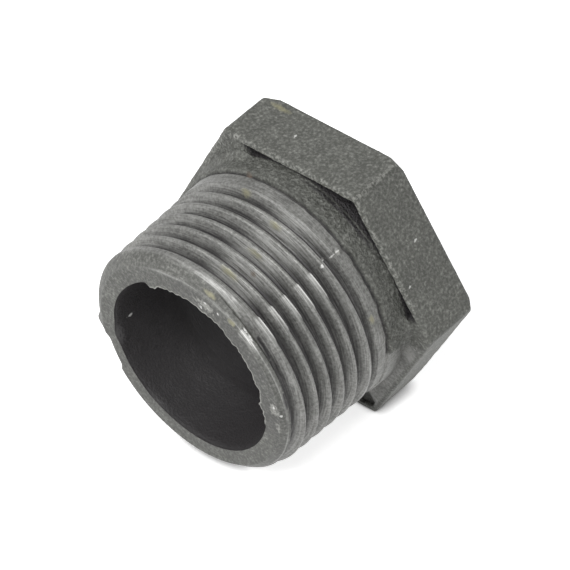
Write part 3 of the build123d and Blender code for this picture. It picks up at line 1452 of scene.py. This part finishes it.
@dataclass(frozen=True)
class BlackMalleableIron:
    """Malleable iron, sand-cast and annealed black, with its thread chased on a lathe.

    The cast skin is matt and grainy, like fine emery; the cut metal is smoother, with
    fine tool lines round it and a soft grey gleam, which the painted shade dulls in the grooves.

    Attributes:
        skin: The cast skin, with its darker and lighter grains and its palest specks.
        skin_at: Noise at which each of those four colours stands.
        cut: Cut metal, from the dark of its tool lines to the light between them.
        cut_at: Noise at which those two colours stand.
        soot: Soot and dried oil inside the bore, also laid as painted shade in the grooves, hollow
            corners, undercut and on the nose's end.
        rubbed: Metal scuffed half bright, also laid as painted highlights on the rim, a head corner
            and the ragged lip.
        torn_and_highlight: Freshly broken metal, also laid as painted highlights on the thread's
            crests and flanks.
        olive: Dried cutting oil, and paint.
        rust: Rust.
        grain_mm: Size of the grains.
        tool_line_mm: Distance between tool lines.
        tool_line_long_mm: Length of a tool line.
        cloud_mm: Size of the lighter and darker clouds.
        metal_share: How metallic cut metal is under its film of oil and scale.
        roughness: Roughness of cut metal and of cast skin.
        relief_mm: Height of the relief.
    """

    skin: tuple[str, ...] = ("4b4c47", "5b5c57", "747570", "90908b")
    skin_at: tuple[float, ...] = (0.38, 0.5, 0.63, 0.74)
    cut: tuple[str, ...] = ("646461", "8f8f8c")
    cut_at: tuple[float, ...] = (0.4, 0.58)
    # The soot colour also lays painted shade, and the next two colours also lay painted highlights.
    soot: str = "2f2d2e"
    rubbed: str = "989893"
    torn_and_highlight: str = "dededb"
    olive: str = "928f74"
    rust: str = "6f6257"
    grain_mm: float = 0.38  # moulding sand, drawn twice as coarse so that it shows
    tool_line_mm: float = 0.09
    tool_line_long_mm: float = 4.0
    cloud_mm: float = 3.0
    metal_share: float = 0.45
    roughness: tuple[float, float] = (0.45, 0.55)
    relief_mm: float = 0.16

    def patterns(self, tree: bpy.types.NodeTree) -> tuple[Socket, Socket, Socket]:
        """Make the noise of the sand's grain, of the clouds and of the tool lines."""
        place = add(tree, "TexCoord", {}, {}).outputs["Object"]
        fine = {"@Detail": 3.0, "@Roughness": 0.6}
        size = {"@Scale": 1 / (self.grain_mm * MM)}
        grain = add(tree, "TexNoise", fine | size, {"Vector": place})
        size = {"@Scale": 1 / (self.cloud_mm * MM), "@Detail": 4.0}
        clouds = add(tree, "TexNoise", fine | size, {"Vector": place})
        along, across = 1 / (self.tool_line_long_mm * MM), 1 / (self.tool_line_mm * MM)
        stretched = add(tree, "Mapping", {"@Scale": (along, across, along)}, {"Vector": place})
        size = {"@Scale": 1.0}
        lines = add(tree, "TexNoise", fine | size, {"Vector": stretched.outputs["Vector"]})
        return grain.outputs["Fac"], clouds.outputs["Fac"], lines.outputs["Fac"]

    def clean_colour(
        self, tree: bpy.types.NodeTree, cast: Socket, mottled: Socket, grain: Socket, clouds: Socket
    ) -> Socket:
        """Turn noise into the tones of cast skin and cut metal, with faint clouds over both.

        Args:
            tree: The node tree to add to.
            cast: Where the skin is cast.
            mottled: Noise of the cut metal.
            grain: Noise of the sand's grain.
            clouds: Noise of the clouds.

        Returns:
            The colour.
        """
        found = []
        for value, tones, at in ((mottled, self.cut, self.cut_at), (grain, self.skin, self.skin_at)):
            ramp = add(tree, "ValToRGB", {}, {"Fac": value})
            stops = ramp.color_ramp.elements
            stops[0].position, stops[0].color = at[0], linear(tones[0])
            stops[1].position, stops[1].color = at[-1], linear(tones[-1])
            for place, tone in list(zip(at, tones))[1:-1]:
                stops.new(place).color = linear(tone)
            found.append(ramp.outputs["Color"])
        cut, skin = found
        body = add(tree, "Mix", {"data_type": "RGBA"}, {"Factor": cast, 6: cut, 7: skin})
        faint = {"@From Min": 0.3, "@From Max": 0.7, "@To Min": 0.8, "@To Max": 1.15}
        cloudy = add(tree, "MapRange", faint, {"Value": clouds})
        shaded = {"data_type": "RGBA", "blend_type": "MULTIPLY", "@Factor": 1.0}
        body = add(tree, "Mix", shaded, {6: body.outputs[2], 7: cloudy.outputs["Result"]})
        return body.outputs[2]

    def soot_shade_and_highlight_colour(
        self, tree: bpy.types.NodeTree, body: Socket, marks: dict[Mark, Socket], lines: Socket
    ) -> Socket:
        """Lay soot and painted shade over a colour, in streaks along the tool lines, and add painted
        highlights on the thread.

        Args:
            tree: The node tree to add to.
            body: The colour to lay it over.
            marks: What is marked on the skin.
            lines: Noise of the tool lines.

        Returns:
            The colour.
        """
        # Soot in the bore, and painted shade in the grooves, hollow corners, undercut and on the
        # nose's end.
        streaks = {"@From Min": 0.35, "@From Max": 0.65, "@To Min": 1.3, "@To Max": 0.75}
        streaky = add(tree, "MapRange", streaks, {"Value": lines}).outputs["Result"]
        times = {"operation": "MULTIPLY", "use_clamp": True}
        darkening = add(tree, "Math", times, {0: marks[Mark.GRIME], 1: streaky}).outputs[0]
        darkened = {"data_type": "RGBA", "@7": linear(self.soot)}
        body = add(tree, "Mix", darkened, {"Factor": darkening, 6: body}).outputs[2]
        # Painted highlights on the thread's crests and flanks, broken up by the tool lines.
        scored = {"@From Min": 0.3, "@From Max": 0.58}
        painted_highlight = add(tree, "MapRange", scored, {"Value": lines}).outputs["Result"]
        painted_highlight = add(tree, "Math", {"operation": "MULTIPLY"}, {0: painted_highlight, 1: marks[Mark.EDGE]}).outputs[0]
        bare_and_highlight = {"data_type": "RGBA", "@7": linear(self.torn_and_highlight)}
        return add(tree, "Mix", bare_and_highlight, {"Factor": painted_highlight, 6: body}).outputs[2]

    def flecked_colour(
        self, tree: bpy.types.NodeTree, body: Socket, marks: dict[Mark, Socket], grain: Socket
    ) -> Socket:
        """Add scuffed spots, painted highlights on the rim, a head corner and the ragged lip, stains
        and fresh breaks, whose edges the grain breaks up.

        Args:
            tree: The node tree to add to.
            body: The colour to add them to.
            marks: What is marked on the skin.
            grain: Noise of the sand's grain.

        Returns:
            The colour.
        """
        grain_share, strongest = 0.9, 0.8
        # The first pass lays scuffed spots and painted highlights on the rim, a head corner and the
        # ragged lip.
        for mark, colour, low, high in (
            (Mark.RUBBED, self.rubbed, 0.83, 1.07),
            (Mark.OLIVE, self.olive, 0.8, 1.35),
            (Mark.RUST, self.rust, 0.8, 1.35),
            (Mark.BRIGHT, self.torn_and_highlight, 1.0, 1.2),
        ):
            sum_up = {"operation": "MULTIPLY_ADD", "@1": grain_share}
            broken = add(tree, "Math", sum_up, {0: grain, 2: marks[mark]}).outputs[0]
            edges = {"@From Min": low, "@From Max": high, "@To Max": strongest}
            shown = add(tree, "MapRange", edges, {"Value": broken}).outputs["Result"]
            tint = {"data_type": "RGBA", "@7": linear(colour)}
            body = add(tree, "Mix", tint, {"Factor": shown, 6: body}).outputs[2]
        return body

    def relief(
        self, tree: bpy.types.NodeTree, marks: dict[Mark, Socket], mottled: Socket, grain: Socket
    ) -> Socket:
        """Raise the grain on cast skin, and the tool lines on cut metal.

        Args:
            tree: The node tree to add to.
            marks: What is marked on the skin.
            mottled: Noise of the cut metal.
            grain: Noise of the sand's grain.

        Returns:
            The normal.
        """
        half = {"operation": "MULTIPLY", "@1": 0.5}
        cut = add(tree, "Math", half, {0: mottled}).outputs[0]
        deeper = {"operation": "MULTIPLY_ADD", "@1": 1.4, "@2": 0.4}
        deep = add(tree, "Math", deeper, {0: marks[Mark.COARSE]}).outputs[0]
        skin = add(tree, "Math", {"operation": "MULTIPLY"}, {0: grain, 1: deep}).outputs[0]
        either = {"Factor": marks[Mark.CAST], 2: cut, 3: skin}
        height = add(tree, "Mix", {"data_type": "FLOAT"}, either).outputs[0]
        raised = {"@Strength": 1.0, "@Distance": self.relief_mm * MM}
        return add(tree, "Bump", raised, {"Height": height}).outputs["Normal"]

    def gleam(self, tree: bpy.types.NodeTree, marks: dict[Mark, Socket]) -> tuple[Socket, Socket]:
        """Make cut metal gleam where it is free of soot and painted shade, and leave cast skin matt.

        Args:
            tree: The node tree to add to.
            marks: What is marked on the skin.

        Returns:
            How metallic and how rough the surface is.
        """
        cut, skin = self.roughness
        rough = add(tree, "MapRange", {"@To Min": cut, "@To Max": skin}, {"Value": marks[Mark.CAST]})
        uncast = {"@To Min": self.metal_share, "@To Max": 0.0}
        bare_and_highlight = add(tree, "MapRange", uncast, {"Value": marks[Mark.CAST]}).outputs["Result"]
        # Cut metal gleams less under soot and painted shade.
        less = {"operation": "SUBTRACT", "@0": 1.0}
        undarkened = add(tree, "Math", less, {1: marks[Mark.GRIME]}).outputs[0]
        metallic = add(tree, "Math", {"operation": "MULTIPLY"}, {0: bare_and_highlight, 1: undarkened})
        return metallic.outputs[0], rough.outputs["Result"]

    def material(self) -> bpy.types.Material:
        """Make the node material."""
        made = bpy.data.materials.new("black_malleable_iron")
        made.use_nodes = True
        tree = made.node_tree
        tree.nodes.clear()
        marks = {
            mark: add(tree, "Attribute", {"attribute_name": mark.value}, {}).outputs["Fac"]
            for mark in Mark
        }
        grain, clouds, lines = self.patterns(tree)
        evenly = {"data_type": "FLOAT", "@Factor": 0.5}
        mottled = add(tree, "Mix", evenly, {2: lines, 3: grain}).outputs[0]
        body = self.clean_colour(tree, marks[Mark.CAST], mottled, grain, clouds)
        body = self.soot_shade_and_highlight_colour(tree, body, marks, lines)
        body = self.flecked_colour(tree, body, marks, grain)
        normal = self.relief(tree, marks, mottled, grain)
        metallic, rough = self.gleam(tree, marks)
        surface = {"Base Color": body, "Metallic": metallic, "Roughness": rough, "Normal": normal}
        shader = add(tree, "BsdfPrincipled", {}, surface)
        add(tree, "OutputMaterial", {}, {"Surface": shader.outputs["BSDF"]})
        return made


@dataclass(frozen=True)
class PaperFloor:
    """A matt white paper sweep, which takes soft shadows and reads white to the camera.

    Attributes:
        colour: The paper's own colour.
        lift: Glow that brings the lit paper to white where the background shows.
        contact_mm: Distance within which what touches the paper darkens that glow.
        contact_at: Openness at which the glow starts, and at which it is full.
    """

    colour: str = "f2f2f2"
    lift: float = 0.75
    contact_mm: float = 2.5
    contact_at: tuple[float, float] = (0.15, 0.7)

    def material(self) -> bpy.types.Material:
        """Make the node material."""
        made = bpy.data.materials.new("white_paper")
        made.use_nodes = True
        tree = made.node_tree
        tree.nodes.clear()
        paper = add(tree, "BsdfDiffuse", {"@Color": linear(self.colour)}, {})
        seen = background_rays(tree)
        near = add(tree, "AmbientOcclusion", {"@Distance": self.contact_mm * MM}, {})
        low, high = self.contact_at
        fading = {"@From Min": low, "@From Max": high, "@To Max": self.lift}
        lift = add(tree, "MapRange", fading, {"Value": near.outputs["AO"]}).outputs["Result"]
        glow = add(tree, "Emission", {}, {"Strength": lift}).outputs[0]
        dark = add(tree, "Emission", {"@Strength": 0.0}, {}).outputs[0]
        lifted = add(tree, "MixShader", {}, {"Fac": seen, 1: dark, 2: glow})
        both = add(tree, "AddShader", {}, {0: paper.outputs[0], 1: lifted.outputs[0]})
        add(tree, "OutputMaterial", {}, {"Surface": both.outputs[0]})
        return made


# --- Studio ------------------------------------------------------------------------------


class Lamp(Enum):
    """The studio's soft boxes: place in mm, size in mm and strength in watts."""

    KEY = ((300.0, -420.0, 820.0), 320.0, 4.0)
    FILL = ((-200.0, -620.0, 520.0), 320.0, 2.6)


@dataclass(frozen=True)
class Studio:
    """White sweep, soft boxes and the camera.

    Attributes:
        eye: Where the camera stands, in mm.
        right: Which way its picture's right side lies.
        up: Which way its picture's top lies.
        lens: Its focal length, in mm.
        sensor: Width of its sensor, in mm.
        reach: Nearest and furthest distance that it sees, in m.
        lean: Degrees by which the floor leans to the bushing's axis, which a head flat's
            edge and the nose stand on.
        contact: Where that edge touches the floor, in mm.
        floor_half: Half the floor's width, in m.
        aim: What the lamps point at, in mm.
        room: Strength of the room's light.
    """

    eye: tuple[float, float, float] = (264.61, -269.60, 352.63)
    right: tuple[float, float, float] = (0.74919221, 0.65744846, -0.0804522)
    up: tuple[float, float, float] = (-0.41288707, 0.55853861, 0.71941565)
    lens: float = 258.947368
    sensor: float = 36.0
    reach: tuple[float, float] = (0.01, 20.0)
    lean: float = 6.42
    contact: tuple[float, float, float] = (0.0, -8.3, -18.5)
    floor_half: float = 3.0
    aim: tuple[float, float, float] = (0.0, -14.0, 0.0)
    room: float = 0.36

    def place_camera(self) -> None:
        """Make the camera."""
        lens = bpy.data.cameras.new("camera")
        lens.lens, lens.sensor_width = self.lens, self.sensor
        lens.clip_start, lens.clip_end = self.reach
        camera = bpy.data.objects.new("camera", lens)
        bpy.context.scene.collection.objects.link(camera)
        right, up = Vector(self.right).normalized(), Vector(self.up).normalized()
        turn = Matrix((right, up, right.cross(up))).transposed().to_4x4()
        camera.matrix_world = Matrix.Translation(Vector(self.eye) * MM) @ turn
        bpy.context.scene.camera = camera

    def lay_floor(self) -> None:
        """Lay the paper so that the bushing touches it with a head flat's edge and its nose."""
        half = self.floor_half
        mesh = bpy.data.meshes.new("floor")
        corners = [(-half, -half, 0), (half, -half, 0), (half, half, 0), (-half, half, 0)]
        mesh.from_pydata(corners, [], [(0, 1, 2, 3)])
        mesh.materials.append(PaperFloor().material())
        floor = bpy.data.objects.new("floor", mesh)
        floor.location = Vector(self.contact) * MM
        floor.rotation_euler = (-math.radians(self.lean), 0, 0)
        bpy.context.scene.collection.objects.link(floor)

    def hang_lamps(self) -> None:
        """Hang the soft boxes, all pointing at the bushing."""
        for lamp in Lamp:
            place, size, power = lamp.value
            light = bpy.data.lights.new(lamp.name.lower(), "AREA")
            light.shape, light.size, light.energy = "DISK", size * MM, power
            hung = bpy.data.objects.new(lamp.name.lower(), light)
            hung.location = Vector(place) * MM
            hung.rotation_mode = "QUATERNION"
            hung.rotation_quaternion = (Vector(self.aim) - Vector(place)).to_track_quat("-Z", "Y")
            bpy.context.scene.collection.objects.link(hung)

    def light_room(self) -> None:
        """Make the world a plain white room, which the camera sees as white."""
        world = bpy.data.worlds.new("room")
        bpy.context.scene.world = world
        world.use_nodes = True
        tree = world.node_tree
        tree.nodes.clear()
        white = (1, 1, 1, 1)
        room = add(tree, "Background", {"@Strength": self.room, "@Color": white}, {}).outputs[0]
        seen = add(tree, "Background", {"@Strength": 1.0, "@Color": white}, {}).outputs[0]
        mixed = add(tree, "MixShader", {}, {"Fac": background_rays(tree), 1: room, 2: seen})
        add(tree, "OutputWorld", {}, {"Surface": mixed.outputs[0]})

    def set_up(self) -> None:
        """Set up everything round the bushing."""
        bpy.context.scene.view_settings.view_transform = "Standard"
        self.place_camera()
        self.lay_floor()
        self.hang_lamps()
        self.light_room()


def main() -> None:
    """Build the bushing and its studio."""
    logging.basicConfig(level=logging.INFO, format="%(name)s: %(message)s")
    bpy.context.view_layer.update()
    Studio().set_up()
    iron = BlackMalleableIron().material()
    casting = Casting()
    nose_edge = casting.nose.bore_edge(casting.sizes.columns())
    for piece in (casting.build(iron), Bore().build(iron, nose_edge)):
        mesh = piece.data
        mesh.calc_loop_triangles()
        points, triangles = len(mesh.vertices), len(mesh.loop_triangles)
        LOG.info("%s: %d points, %d triangles", piece.name, points, triangles)


if __name__ == "__main__":
    main()
